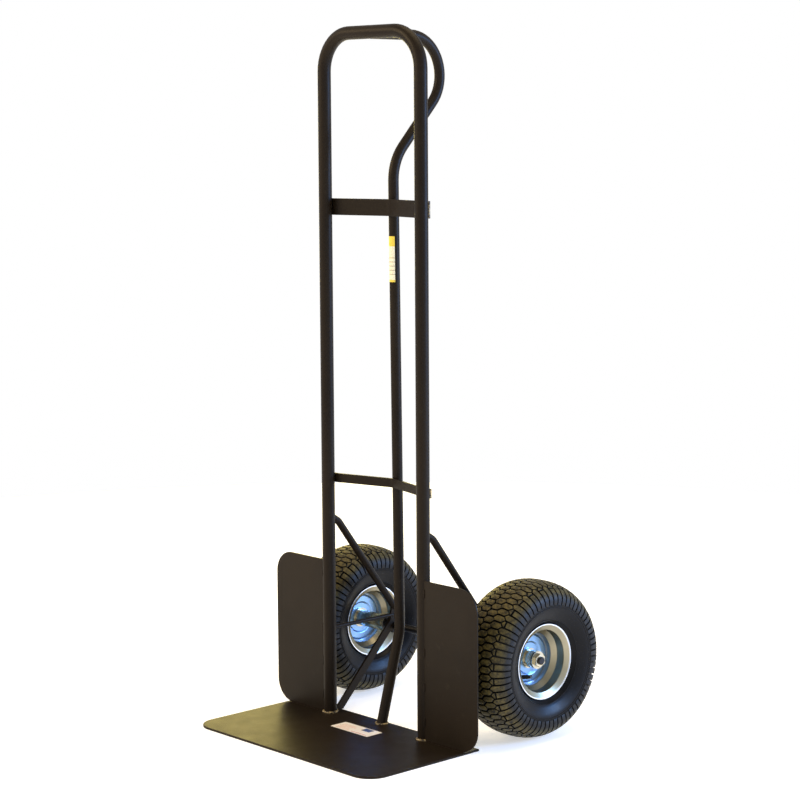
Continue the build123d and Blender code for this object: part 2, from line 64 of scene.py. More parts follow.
# ---------------------------------------------------------------- camera and light
CAMERA_AT = Vector((3.785, -3.405, 1.443))
CAMERA_YAW = radians(47.317)        # 0 looks along +Y, positive swings the camera towards +X
CAMERA_PITCH = radians(6.121)       # looking down
CAMERA_ROLL = radians(-0.368)
CAMERA_FOCAL_WIDTHS = 2.69993       # focal length in picture widths
CAMERA_SHIFT_Y = -0.05345
SENSOR_MM = 36.0
FLOOR_R = 3.6
FLOOR_GAP = 0.0006                  # keeps the floor just under the toe plate
SKY_WHITE = (1.0, 1.0, 1.0)         # all round, level with the object
SKY_ABOVE = (0.30, 0.28, 0.25)      # straight overhead
SKY_TURN = 0.12                     # height of the direction, as a sine, where it starts to dim

# (name, place, target or None for the middle of the truck, size, watts, colour)
LIGHTS = (
    ("key_left", (-2.6, -3.6, 3.2), None, (2.2, 2.2), 170, (1.0, 0.74, 0.40)),
    ("window_right", (3.4, 2.9, 1.7), (0.0, 0.2, 0.4), (1.1, 1.6), 190, (0.16, 0.42, 1.0)),
    ("rim_glint", (3.0, 2.2, 1.15), (0.3, 0.2, 0.19), (0.35, 0.5), 22, (0.95, 0.98, 1.0)),
    ("back_left", (-3.4, 2.0, 1.3), (-0.25, -0.15, 0.0), (2.0, 1.2), 46, (1.0, 0.78, 0.14)),
    ("top", (0.3, 0.6, 4.6), None, (3.0, 3.0), 110, (1.0, 0.78, 0.46)),
)


def add_camera():
    """Camera at the photograph's viewing angle."""
    level = cos(CAMERA_PITCH)
    forward = Vector((-sin(CAMERA_YAW) * level, cos(CAMERA_YAW) * level, -sin(CAMERA_PITCH)))
    right = Vector((cos(CAMERA_YAW), sin(CAMERA_YAW), 0))
    up = right.cross(forward)
    c, s = cos(CAMERA_ROLL), sin(CAMERA_ROLL)
    rolled_right = c * right + s * up
    rolled_up = c * up - s * right
    data = bpy.data.cameras.new("camera")
    data.sensor_width = SENSOR_MM
    data.lens = CAMERA_FOCAL_WIDTHS * SENSOR_MM
    data.shift_y = CAMERA_SHIFT_Y
    data.clip_end = 60
    camera = bpy.data.objects.new("camera", data)
    bpy.context.scene.collection.objects.link(camera)
    turn = Matrix((rolled_right, rolled_up, -forward)).transposed()
    camera.matrix_world = Matrix.Translation(CAMERA_AT) @ turn.to_4x4()
    bpy.context.scene.camera = camera


def add_area_light(name, at, target, size, power, colour):
    """Soft rectangular light that faces the target."""
    data = bpy.data.lights.new(name, "AREA")
    data.shape = "RECTANGLE"
    data.size, data.size_y = size
    data.energy = power
    data.color = colour
    light = bpy.data.objects.new(name, data)
    bpy.context.scene.collection.objects.link(light)
    light.location = at
    light.rotation_euler = (Vector(target) - Vector(at)).to_track_quat("-Z", "Y").to_euler()


def add_stage():
    """Plain pale floor and an even pale sky."""
    mesh = bpy.data.meshes.new("floor")
    shape = bmesh.new()
    bmesh.ops.create_circle(shape, cap_ends=True, segments=96, radius=FLOOR_R)
    shape.to_mesh(mesh)
    shape.free()
    floor = bpy.data.objects.new("floor", mesh)
    bpy.context.scene.collection.objects.link(floor)
    floor.location = (0, 0, -FLOOR_GAP)
    material = bpy.data.materials.new("floor_paint")
    material.use_nodes = True
    surface = material.node_tree.nodes["Principled BSDF"]
    surface.inputs["Base Color"].default_value = (0.86, 0.86, 0.86, 1)
    surface.inputs["Roughness"].default_value = 0.9
    surface.inputs["Specular IOR Level"].default_value = 0.1
    surface.inputs["Emission Color"].default_value = (1, 1, 1, 1)
    surface.inputs["Emission Strength"].default_value = 0.5
    mesh.materials.append(material)

    world = bpy.data.worlds.new("sky")
    world.use_nodes = True
    bpy.context.scene.world = world
    tree = world.node_tree
    direction = tree.nodes.new("ShaderNodeTexCoord").outputs["Generated"]
    parts = tree.nodes.new("ShaderNodeSeparateXYZ")
    tree.links.new(direction, parts.inputs[0])
    height = tree.nodes.new("ShaderNodeMapRange")
    height.inputs["From Min"].default_value = SKY_TURN
    tree.links.new(parts.outputs["Z"], height.inputs["Value"])
    mix = tree.nodes.new("ShaderNodeMix")
    mix.data_type = "RGBA"
    mix.inputs[6].default_value = (*SKY_WHITE, 1)
    mix.inputs[7].default_value = (*SKY_ABOVE, 1)
    tree.links.new(height.outputs["Result"], mix.inputs[0])
    tree.links.new(mix.outputs[2], tree.nodes["Background"].inputs["Color"])
    tree.nodes["Background"].inputs["Strength"].default_value = 1.0


# radii from the axle, in metres, where the colours change: painted reflections on the rims, painted tints,
# highlight and shade on the tyres
DISC_EDGE = (0.056, 0.064)
LIP_EDGE = (0.0862, 0.0872)
SIDEWALL_EDGE = (0.13, 0.15)
TREAD_EDGE = (0.152, 0.168)


# ---------------------------------------------------------------- material helpers
class Shader:
    """One Principled material, with short ways to add the nodes that every finish uses."""

    def __init__(self, name, colour, roughness, metallic=0.0):
        self.material = bpy.data.materials.new(name)
        self.material.use_nodes = True
        self.tree = self.material.node_tree
        self.surface = self.tree.nodes["Principled BSDF"]
        self.surface.inputs["Base Color"].default_value = (*colour, 1)
        self.surface.inputs["Roughness"].default_value = roughness
        self.surface.inputs["Metallic"].default_value = metallic
        self.place = self.node("ShaderNodeTexCoord").outputs["Object"]

    def node(self, kind, **values):
        """New node with input values by name."""
        made = self.tree.nodes.new(kind)
        for key, value in values.items():
            made.inputs[key.replace("_", " ")].default_value = value
        return made

    def link(self, source, target):
        self.tree.links.new(source, target)

    def noise(self, scale, detail=3.0, rough=0.5, stretch=None):
        """Noise in object space, optionally stretched along the axes."""
        noise = self.node("ShaderNodeTexNoise", Scale=scale, Detail=detail, Roughness=rough)
        source = self.place
        if stretch:
            mapping = self.node("ShaderNodeMapping")
            mapping.inputs["Scale"].default_value = stretch
            self.link(source, mapping.inputs["Vector"])
            source = mapping.outputs["Vector"]
        self.link(source, noise.inputs["Vector"])
        return noise.outputs["Fac"]

    def ramp(self, source, stops):
        """Colour ramp from (position, grey or colour) pairs."""
        ramp = self.node("ShaderNodeValToRGB")
        elements = ramp.color_ramp.elements
        while len(elements) < len(stops):
            elements.new(0.5)
        for element, (position, value) in zip(elements, stops):
            element.position = position
            element.color = (*value, 1) if isinstance(value, tuple) else (value, value, value, 1)
        self.link(source, ramp.inputs["Fac"])
        return ramp.outputs["Color"]

    def mix(self, factor, a, b):
        """Colour mix; factor, a and b are sockets or constants."""
        mix = self.node("ShaderNodeMix")
        mix.data_type = "RGBA"
        for socket, value in ((mix.inputs[0], factor), (mix.inputs[6], a), (mix.inputs[7], b)):
            if isinstance(value, bpy.types.NodeSocket):
                self.link(value, socket)
            elif isinstance(value, tuple):
                socket.default_value = (*value, 1)
            else:
                socket.default_value = value
        return mix.outputs[2]

    def math(self, operation, a, b=0.5):
        """Math on two values or sockets."""
        made = self.node("ShaderNodeMath")
        made.operation = operation
        for socket, value in zip(made.inputs, (a, b)):
            if isinstance(value, bpy.types.NodeSocket):
                self.link(value, socket)
            else:
                socket.default_value = value
        return made.outputs[0]

    def axle_radius(self):
        """Distance from the wheels' turning axis, in metres."""
        low, high = (Vector(c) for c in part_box("tyre_left"))
        offset = self.node("ShaderNodeVectorMath")
        offset.operation = "SUBTRACT"
        self.link(self.place, offset.inputs[0])
        offset.inputs[1].default_value = (low + high) / 2
        flat = self.node("ShaderNodeVectorMath")
        flat.operation = "MULTIPLY"
        self.link(offset.outputs[0], flat.inputs[0])
        flat.inputs[1].default_value = (0, 1, 1)
        length = self.node("ShaderNodeVectorMath")
        length.operation = "LENGTH"
        self.link(flat.outputs[0], length.inputs[0])
        return length.outputs["Value"]

    def between(self, source, low, high):
        """0 at low and below, 1 at high and above."""
        spread = self.node("ShaderNodeMapRange")
        spread.inputs["From Min"].default_value = low
        spread.inputs["From Max"].default_value = high
        self.link(source, spread.inputs["Value"])
        return spread.outputs["Result"]

    def inside(self, low, high):
        """1 in a box in object space, 0 outside; None leaves an axis free."""
        parts = self.node("ShaderNodeSeparateXYZ")
        self.link(self.place, parts.inputs[0])
        mask = None
        for axis, lo, hi in zip(parts.outputs, low, high):
            if lo is None:
                continue
            above, below = self.math("GREATER_THAN", axis, lo), self.math("LESS_THAN", axis, hi)
            inside = self.math("MULTIPLY", above, below)
            mask = inside if mask is None else self.math("MULTIPLY", mask, inside)
        return mask

    def colour(self, source):
        self.link(source, self.surface.inputs["Base Color"])

    def roughness(self, source, low, high):
        """Roughness between low and high, following a 0 to 1 source."""
        spread = self.node("ShaderNodeMapRange")
        spread.inputs["To Min"].default_value = low
        spread.inputs["To Max"].default_value = high
        self.link(source, spread.inputs["Value"])
        self.link(spread.outputs["Result"], self.surface.inputs["Roughness"])

    def bump(self, *layers):
        """Chain of bumps, each (source, strength, distance in metres)."""
        normal = None
        for source, strength, distance in layers:
            bump = self.node("ShaderNodeBump", Strength=strength, Distance=distance)
            self.link(source, bump.inputs["Height"])
            if normal:
                self.link(normal, bump.inputs["Normal"])
            normal = bump.outputs["Normal"]
        self.link(normal, self.surface.inputs["Normal"])


def powder_coat(name="powder_coat"):
    """Satin black powder coat with a brown cast, orange peel, handling marks and dust."""
    s = Shader(name, (0.010, 0.007, 0.005), 0.4)
    s.surface.inputs["Specular IOR Level"].default_value = 0.11
    tone = s.ramp(s.noise(3.5, 4), [(0.35, (0.0075, 0.0045, 0.0026)), (0.7, (0.014, 0.0092, 0.0052))])
    speckle = s.ramp(s.noise(900, 2), [(0.45, 0.0), (0.75, 0.5)])
    tone = s.mix(speckle, tone, (0.034, 0.026, 0.016))
    dust = s.ramp(s.noise(38, 6, 0.65), [(0.62, 0.0), (0.8, 0.22)])
    s.colour(s.mix(dust, tone, (0.06, 0.05, 0.034)))
    s.roughness(s.noise(22, 5, 0.6), 0.34, 0.5)
    s.bump((s.noise(480, 2), 0.3, 0.0005), (s.noise(1500, 2), 0.3, 0.0002))
    return s.material


def weld_coat():
    """Coated weld beads, with painted golden highlight patches of the warm light, placed by noise."""
    s = Shader("weld_coat", (0.012, 0.008, 0.005), 0.34)
    # painted highlight: golden patches standing for the warm light's reflection on the beads, placed by noise
    painted_highlight = s.ramp(s.noise(150, 4, 0.7), [(0.44, 0.0), (0.56, 0.9)])
    s.colour(s.mix(painted_highlight, (0.014, 0.0095, 0.006), (0.46, 0.35, 0.17)))
    s.roughness(s.noise(200, 4), 0.25, 0.5)
    s.bump((s.noise(500, 3), 0.3, 0.0005), (s.noise(1600, 2), 0.2, 0.0002))
    return s.material


def zinc(name, tint=(0.74, 0.76, 0.79), low=0.16, high=0.3):
    """Bright zinc plate with faint colour drift and fine marks."""
    s = Shader(name, tint, low, 1.0)
    s.colour(s.ramp(s.noise(9, 3), [(0.3, tuple(0.85 * c for c in tint)), (0.7, tint)]))
    s.roughness(s.noise(60, 5, 0.7), low, high)
    s.bump((s.noise(240, 4), 0.08, 0.0004), (s.noise(1500, 2), 0.1, 0.0002))
    return s.material


def rim_zinc():
    """Zinc of the rims with painted reflections: blue of the right-hand light painted on the disc, warm tan of
    the left-hand light painted on the barrel, a bright painted highlight on the lip.
    """
    s = Shader("zinc_rim", (0.6, 0.62, 0.6), 0.2, 1.0)
    radius = s.axle_radius()
    drift = s.noise(14, 4)
    # painted reflection: blue of the right-hand light on the disc
    disc = s.ramp(drift, [(0.3, (0.20, 0.36, 0.62)), (0.7, (0.27, 0.46, 0.76))])
    # painted reflection: warm tan of the left-hand light on the barrel
    barrel = s.ramp(drift, [(0.3, (0.25, 0.225, 0.15)), (0.7, (0.36, 0.33, 0.235))])
    plate = s.mix(s.between(radius, *DISC_EDGE), disc, barrel)
    # painted highlight: bright lip
    s.colour(s.mix(s.between(radius, *LIP_EDGE), plate, (0.80, 0.84, 0.88)))
    s.roughness(s.noise(60, 5, 0.7), 0.24, 0.4)
    s.bump((s.noise(170, 4), 0.1, 0.0005), (s.noise(1200, 2), 0.12, 0.0002))
    return s.material


def plain_rubber(name, grey=0.02, low=0.5, high=0.7):
    """Moulded black rubber."""
    s = Shader(name, (grey, grey, grey), low)
    s.surface.inputs["Specular IOR Level"].default_value = 0.35
    s.colour(s.ramp(s.noise(14, 4), [(0.3, grey * 0.8), (0.75, grey * 1.35)]))
    s.roughness(s.noise(45, 4), low, high)
    s.bump((s.noise(900, 3), 0.25, 0.0003))
    return s.material


def casing_rubber():
    """Black tyre rubber with specks of dust on the sidewall, a faint painted blue tint of the right-hand light on
    the sidewall and a faint painted warm tint in the tread region.
    """
    s = Shader("tyre_rubber", (0.008, 0.008, 0.009), 0.45)
    s.surface.inputs["Specular IOR Level"].default_value = 0.15
    dust = s.ramp(s.noise(260, 3, 0.6), [(0.66, 0.0), (0.74, 0.5)])
    # faint painted blue tint of the right-hand light on the sidewall, under real specks of dust
    wall = s.mix(dust, (0.0022, 0.0025, 0.0036), (0.09, 0.085, 0.07))
    # faint painted warm tint of the left-hand light in the tread region, beyond SIDEWALL_EDGE
    s.colour(s.mix(s.between(s.axle_radius(), *SIDEWALL_EDGE), wall, (0.003, 0.0027, 0.0022)))
    s.roughness(s.noise(30, 5, 0.6), 0.26, 0.44)
    s.bump((s.noise(60, 3), 0.12, 0.0008), (s.noise(1100, 3), 0.25, 0.0002))
    return s.material


def tread_rubber():
    """Tops of the tread blocks: a painted olive brown highlight of the warm light over black on the crown,
    painted shade with a faint blue tint on the shoulders.
    """
    s = Shader("tread_rubber", (0.03, 0.026, 0.014), 0.55)
    s.surface.inputs["Specular IOR Level"].default_value = 0.25
    # painted highlight: olive brown of the warm light on the crown tops, in noise patches
    painted_highlight = s.ramp(s.noise(110, 5, 0.65), [(0.35, (0.009, 0.0078, 0.0036)), (0.66, (0.105, 0.082, 0.024))])
    # painted shade: darker, faintly blue shoulders facing the blue light
    shoulder = s.ramp(s.noise(90, 4), [(0.35, (0.005, 0.0055, 0.007)), (0.75, (0.013, 0.0125, 0.0115))])
    s.colour(s.mix(s.between(s.axle_radius(), *TREAD_EDGE), shoulder, painted_highlight))
    s.roughness(s.noise(70, 5, 0.65), 0.4, 0.66)
    s.bump((s.noise(400, 4, 0.65), 0.3, 0.0005), (s.noise(1500, 2), 0.25, 0.0002))
    return s.material


def steel(name, tint, low, high):
    """Machined or oiled steel."""
    s = Shader(name, tint, low, 1.0)
    s.colour(s.ramp(s.noise(30, 5), [(0.35, tuple(0.75 * c for c in tint)), (0.7, tint)]))
    s.roughness(s.noise(80, 5, 0.7), low, high)
    s.bump((s.noise(700, 3), 0.12, 0.0002))
    return s.material


def vinyl(name, paper, printed):
    """Glossy label stock; printed is (low, high, colour) boxes of plain colour."""
    s = Shader(name, paper, 0.25)
    colour = s.ramp(s.noise(120, 3), [(0.3, tuple(0.9 * c for c in paper)), (0.7, paper)])
    for low, high, ink in printed:
        colour = s.mix(s.inside(low, high), colour, ink)
    s.colour(colour)
    s.roughness(s.noise(60, 3), 0.22, 0.4)
    s.bump((s.noise(90, 2), 0.12, 0.0004))
    return s.material


def toe_label():
    """White label with one blue patch and faint pink bars."""
    low, high = (Vector(c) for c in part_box("toe_plate_label"))
    size = high - low

    def box(left, near, right, far):
        return tuple((low.x + u * size.x, low.y + v * size.y, None) for u, v in ((left, near), (right, far)))

    pink, red, blue = (0.80, 0.50, 0.44), (0.66, 0.2, 0.16), (0.012, 0.03, 0.13)
    printed = []
    for row in range(5):
        bottom = 0.12 + 0.14 * row
        printed.append((*box(0.08, bottom, 0.46 - 0.05 * (row % 3), bottom + 0.05), pink))
    printed += [(*box(0.52, 0.1, 0.92, 0.15), red), (*box(0.60, 0.55, 0.82, 0.93), blue)]
    return vinyl("toe_label_print", (0.93, 0.89, 0.88), printed)


def handle_label():
    """White label with a yellow head and foot and faint grey bars."""
    low, high = (Vector(c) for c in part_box("handle_label"))

    def band(bottom, top):
        height = high.z - low.z
        return (None, None, low.z + bottom * height), (None, None, low.z + top * height)

    grey, yellow = (0.45, 0.42, 0.3), (0.78, 0.58, 0.06)
    printed = [(*band(0.16 + 0.09 * row, 0.18 + 0.09 * row), grey) for row in range(5)]
    printed += [(*band(0.78, 1.1), yellow), (*band(-0.1, 0.05), yellow)]
    return vinyl("handle_label_print", (0.84, 0.80, 0.60), printed)


add_camera()
add_stage()
bpy.context.scene.view_settings.view_transform = "Standard"

FINISH = {
    "powder_coat": powder_coat(),
    "zinc_rim": rim_zinc(),
    "zinc_hardware": zinc("zinc_hardware", (0.56, 0.52, 0.40), 0.16, 0.3),
    "bearing_steel": steel("bearing_steel", (0.3, 0.3, 0.31), 0.25, 0.4),
    "axle_steel": steel("axle_steel", (0.05, 0.05, 0.055), 0.3, 0.5),
    "tyre_rubber": casing_rubber(),
    "tread_rubber": tread_rubber(),
    "black_rubber": plain_rubber("black_rubber", 0.016),
    "cap_plastic": plain_rubber("cap_plastic", 0.014, 0.35, 0.5),
    "weld_coat": weld_coat(),
    "toe_plate_label": toe_label(),
    "handle_label": handle_label(),
}
SLOT_OF = {row["node"]: row["material_slot"] for row in frame["record"]["subparts"]}
for node, obj in NODES.items():
    obj.data.materials.clear()
    obj.data.materials.append(FINISH[node if node in FINISH else SLOT_OF[node]])

# ---------------------------------------------------------------- tyres, in millimetres
GROOVE_DEPTH = 5.4          # how deep the tread grooves are
SKIN = 0.8                  # how far the plain sidewall lies under the rings and lugs
CROWN_FLAT = 8.0            # half width of the flat middle of the tread
SIDE_R = 147.0              # radius at which the tyre is widest
WALL = ((76.4, 127.0), (70.0, 110.0), (64.4, 100.6), (56.4, 93.2))
BEAD = ((52.6, 89.9), (45.9, 76.3), (33.0, 76.3), (36.0, 84.0), (58.0, 112.0), (64.0, 142.0), (48.0, 166.0))
LUG_END_R = 138.0           # where the shoulder lugs run out
RING_R = 132.0              # fine ring on the sidewall
RIM_RING_R = 101.0          # fine ring beside the rim
RING_HALF_W = 0.9
LUGS = 64                   # lugs round each shoulder, and blocks in each crown column
COLUMNS = (13.0, 39.0)      # middles of the crown columns, over the tread from its middle
BLOCK_FLAT = 9.0            # half length of a crown block's straight edges
BLOCK_POINT = 17.0          # half length from point to point
LUG_SLOPE = 8.0
LUG_CUT = 13.0              # where every second lug is cut across, from its root
TAPER_L = 11.0              # over which the grooves run out towards the lug ends
SIDE_CLEARANCE = 0.3        # keeps the tyre inside its solid
INNER_R = 173.0             # inside of the casing under the tread
CASING_STEPS = 256
BEVEL_DROP = 0.75           # height of the bevel for its width
ROOT_DEPTH = 1.5            # how far the blocks are rooted in the casing
BLOCK_ACROSS = 3            # faces across each block
NARROW_CUT = 0.6            # width of the cut across a lug, for that of a groove
ARC_STEPS = 36
WALL_STEPS = 8
CASING_PARTS = 60           # parts of the casing's half section
RING_PARTS = 5              # extra points each side of a ring
SHARP_ANGLE = radians(38)
MERGE = 2e-6                # metres
GROOVE_W = 3.3
SIPE_W = 0.9
BEVEL = 0.8


def to_mesh(name, points, faces, materials, body, node, second=()):
    """New piece in metres that rides on a body; the faces in second take the second material."""
    mesh = bpy.data.meshes.new(name)
    mesh.from_pydata(points, [], faces)
    for material in materials:
        mesh.materials.append(material)
    for index in second:
        mesh.polygons[index].material_index = 1
    shape = bmesh.new()
    shape.from_mesh(mesh)
    bmesh.ops.remove_doubles(shape, verts=shape.verts, dist=MERGE)
    bmesh.ops.dissolve_degenerate(shape, edges=shape.edges, dist=1e-6)
    bmesh.ops.recalc_face_normals(shape, faces=shape.faces)
    shape.to_mesh(mesh)
    shape.free()
    piece = bpy.data.objects.new(name, mesh)
    bpy.context.scene.collection.objects.link(piece)
    mesh.polygons.foreach_set("use_smooth", [True] * len(mesh.polygons))
    mesh.set_sharp_from_angle(angle=SHARP_ANGLE)
    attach(piece, body)
    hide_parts(node)
    return piece


def curve_through(points, steps):
    """Smooth curve through the points."""
    padded = [2 * points[0] - points[1]] + points + [2 * points[-1] - points[-2]]
    curve = [points[0]]
    for a, b, c, d in zip(padded, padded[1:], padded[2:], padded[3:]):
        for step in range(1, steps + 1):
            t = step / steps
            bend = (c - a) * t + (2 * a - 5 * b + 4 * c - d) * t * t + (3 * b - a - 3 * c + d) * t ** 3
            curve.append(b + 0.5 * bend)
    return curve


class Outline:
    """Half section of the tyre from the middle of the tread to the rim, by distance over it."""

    def __init__(self, tyre_r, half_w):
        points = [Vector((0, tyre_r)), Vector((CROWN_FLAT / 2, tyre_r))]
        for step in range(ARC_STEPS + 1):
            turn = pi / 2 * (1 - step / ARC_STEPS)
            across = CROWN_FLAT + (half_w - CROWN_FLAT) * cos(turn)
            points.append(Vector((across, SIDE_R + (tyre_r - SIDE_R) * sin(turn))))
        wall = [Vector((half_w, SIDE_R))] + [Vector(p) for p in WALL]
        self.points = points + curve_through(wall, WALL_STEPS)[1:]
        self.run = [0.0]
        for a, b in zip(self.points, self.points[1:]):
            self.run.append(self.run[-1] + (b - a).length)

    def at(self, distance, depth=0.0):
        """Point (u, r) this far over the surface from the middle, and this deep under it."""
        distance = min(max(distance, 0.0), self.run[-1] - 1e-6)
        index = max(i for i, run in enumerate(self.run[:-1]) if run <= distance)
        a, b = self.points[index], self.points[index + 1]
        along = (b - a).normalized()
        here = a + along * (distance - self.run[index])
        return here.x - depth * -along.y, here.y - depth * along.x

    def reach(self, radius):
        """Distance over the surface to this radius, outside the tread."""
        return next(run for run, p in zip(self.run, self.points) if p.y <= radius)


def inset(corners, amounts):
    """Convex polygon, anticlockwise, with each edge moved inwards by its own amount."""
    lines = []
    for a, b, amount in zip(corners, corners[1:] + corners[:1], amounts):
        along = (b - a).normalized()
        lines.append((a + Vector((-along.y, along.x)) * amount, along))
    moved = []
    for (p, d), (q, e) in zip(lines[-1:] + lines[:-1], lines):
        gap = q - p
        moved.append(p + d * ((gap.x * e.y - gap.y * e.x) / (d.x * e.y - d.y * e.x)))
    return moved


def span(corners, w):
    """Lowest and highest s of a convex polygon of (s, w) corners at this w."""
    hits = []
    for a, b in zip(corners, corners[1:] + corners[:1]):
        if min(a.y, b.y) - 1e-4 <= w <= max(a.y, b.y) + 1e-4:
            if abs(b.y - a.y) < 1e-3:
                hits += [a.x, b.x]
            else:
                hits.append(a.x + (b.x - a.x) * min(max((w - a.y) / (b.y - a.y), 0), 1))
    return min(hits), max(hits)


def rows_over(corners, between, across):
    """Grid of (s, w) points over a convex polygon, with rows through all its corners."""
    levels = []
    for w in sorted(c.y for c in corners):
        if not levels or w - levels[-1] > 0.05:
            levels.append(w)
    rows = [lo + (hi - lo) * k / between for lo, hi in zip(levels, levels[1:]) for k in range(between)]
    grid = []
    for w in rows + levels[-1:]:
        first, last = span(corners, w)
        grid.append([(first + (last - first) * k / across, w) for k in range(across + 1)])
    return grid


def tread_block(corners, amounts, between, outline, tyre_r):
    """One closed rubber block with bevelled top edges, as (angle, u, r) points and faces."""
    across = BLOCK_ACROSS
    width = across + 1
    foot_rows = rows_over(inset(corners, amounts), between, across)
    top_rows = rows_over(inset(corners, [amount + BEVEL for amount in amounts]), between, across)
    height = len(top_rows)
    points = []
    for rows, depth in ((top_rows, 0.0), (foot_rows, BEVEL * BEVEL_DROP), (foot_rows, GROOVE_DEPTH + ROOT_DEPTH)):
        for row in rows:
            for s, w in row:
                points.append((s / tyre_r, *outline.at(w, depth)))
    size = width * height
    edge = list(range(width)) + [row * width + across for row in range(1, height)]
    edge += [(height - 1) * width + k for k in range(across - 1, -1, -1)]
    edge += [row * width for row in range(height - 2, 0, -1)]
    corner = [row * width + k for row in range(height - 1) for k in range(across)]
    faces = [[a, a + 1, a + width + 1, a + width] for a in corner]
    tops = len(faces)
    faces += [[2 * size + i for i in reversed(face)] for face in faces]
    for layer in (0, size):
        for i, j in zip(edge, edge[1:] + edge[:1]):
            faces.append([layer + i, layer + size + i, layer + size + j, layer + j])
    return points, faces, tops


def tread_step(outline, tyre_r, long_lug):
    """Blocks of one step of the tread on its +u half."""
    pitch = 2 * pi * tyre_r / LUGS
    half = pitch / 2
    wide, sipe = GROOVE_W / 2, SIPE_W / 2
    made = []
    for number, column in enumerate(COLUMNS):
        middle = Vector((half * number, column))
        corners = [middle + Vector(p) for p in (
            (0, -BLOCK_POINT), (half, -BLOCK_FLAT), (half, BLOCK_FLAT),
            (0, BLOCK_POINT), (-half, BLOCK_FLAT), (-half, -BLOCK_FLAT))]
        made.append(tread_block(corners, [wide, wide, sipe, wide, wide, sipe], 2, outline, tyre_r))
    root = COLUMNS[-1] + BLOCK_FLAT
    end = outline.reach(LUG_END_R)
    cut = root + LUG_CUT
    pointed = [Vector(p) for p in (
        (0, root), (half, root + LUG_SLOPE), (half, end if long_lug else cut),
        (-half, end if long_lug else cut), (-half, root + LUG_SLOPE))]
    made.append(tread_block(pointed, [sipe, wide, 0.0 if long_lug else wide, wide, wide],
                            4 if long_lug else 1, outline, tyre_r))
    if not long_lug:
        square = [Vector(p) for p in ((-half, cut), (half, cut), (half, end), (-half, end))]
        made.append(tread_block(square, [wide * NARROW_CUT, wide, 0.0, wide], 5, outline, tyre_r))
    return made


def casing_depth(distance, ends):
    """How far the casing lies under the outline; ends are the lug end and the two rings."""
    lug_end, ring, rim_ring = ends
    if distance < lug_end - TAPER_L:
        return GROOVE_DEPTH
    if distance < lug_end:
        return SKIN + (GROOVE_DEPTH - SKIN) * (lug_end - distance) / TAPER_L
    near = min(abs(distance - ring), abs(distance - rim_ring), abs(distance - lug_end - 0.5))
    return SKIN * min(1.0, max(0.0, near / RING_HALF_W - 0.35))


def casing_section(outline):
    """Closed section of the whole casing, from the middle of the tread over the right side."""
    ends = tuple(outline.reach(r) for r in (LUG_END_R, RING_R, RIM_RING_R))
    total = outline.run[-1]
    distances = [total * k / CASING_PARTS for k in range(CASING_PARTS + 1)]
    for place in (ends[0] + 0.5, ends[1], ends[2]):
        distances += [place + RING_HALF_W * k / 3 for k in range(-RING_PARTS, RING_PARTS + 1)]
    distances = sorted(d for d in distances if 0 <= d <= total)
    half = [outline.at(d, casing_depth(d, ends)) for d in distances] + [Vector(p) for p in BEAD]
    inside = [(0.0, INNER_R)]
    return [tuple(p) for p in half] + inside + [(-p[0], p[1]) for p in reversed(half[1:])]


def add_tyre(name, body):
    """Turf tyre: casing and separate tread blocks, in place of the smooth casing."""
    node = f"tyre_{name}"
    low, high = (Vector(c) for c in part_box(node))
    middle = (low + high) / 2
    tyre_r = (high.z - low.z) / 2 * 1000
    half_w = (high.x - low.x) / 2 * 1000 - SIDE_CLEARANCE
    outline = Outline(tyre_r, half_w)

    def place(angle, u, r):
        return (middle.x + u / 1000, middle.y - r / 1000 * cos(angle), middle.z + r / 1000 * sin(angle))

    section = casing_section(outline)
    count = len(section)
    points = [place(2 * pi * k / CASING_STEPS, u, r) for k in range(CASING_STEPS) for u, r in section]
    faces = []
    for k in range(CASING_STEPS):
        here, after = k * count, (k + 1) % CASING_STEPS * count
        for i in range(count):
            j = (i + 1) % count
            faces.append([here + i, after + i, after + j, here + j])

    halves = [tread_step(outline, tyre_r, long_lug) for long_lug in (True, False)]
    second = []
    for side in (1, -1):
        for step in range(LUGS):
            turn = 2 * pi * (step + (0.5 if side < 0 else 0)) / LUGS
            for block_points, block_faces, tops in halves[step % 2]:
                start = len(points)
                second += range(len(faces), len(faces) + tops)
                points += [place(angle + turn, side * u, r) for angle, u, r in block_points]
                faces += [[start + i for i in face] for face in block_faces]
    finishes = [FINISH["tyre_rubber"], FINISH["tread_rubber"]]
    return to_mesh(f"turf_tyre_{name}", points, faces, finishes, body, node, second)


# ---------------------------------------------------------------- welds, in metres
HANDLE_FOOT_Y = 0.018           # where the centre handle stands on the toe plate
GUARD_STITCHES = (0.040, 0.122, 0.205, 0.345)       # bottoms of the weld runs down each guard's seam
STITCH_L = 0.022
STILE_BEAD = 0.0034             # radii of the beads
HANDLE_BEAD = 0.003
SEAM_BEAD = 0.0022
CROSSBAR_BEAD = 0.0031
BEAD_LIFT = 0.0008              # middle of a foot's bead above the toe plate
STILE_BEAD_OUT = 0.0012         # middle of a bead outside the tube's face
HANDLE_BEAD_OUT = 0.001
SEAM_BEAD_OUT = 0.0006
SEAM_BEAD_FORWARD = 0.0003
CROSSBAR_BEAD_X = 0.0098        # middle of the bead from the stile's centre
CROSSBAR_BEAD_IN = 0.0018       # and in front of the back of the stile
CROSSBAR_BEAD_END = 0.002
STILE_LEAN = 0.018              # how far up the feet's beads face, against their radius
HANDLE_LEAN = 0.014
RIPPLE_STEPS = 5                # path points to one weld ripple
RIPPLE_LOW = 0.86               # thinnest part of a ripple, for the bead's radius
RIPPLE_RISE = 0.16
WANDER = ((0.07, 0.61), (0.05, 1.73))               # (size, rate) of the bead's slow changes in width
END_SHARE = 0.45                # radius of a bead's end
END_RISE = 0.14                 # and how fast it grows from there, per point
BEAD_SIDES = 10


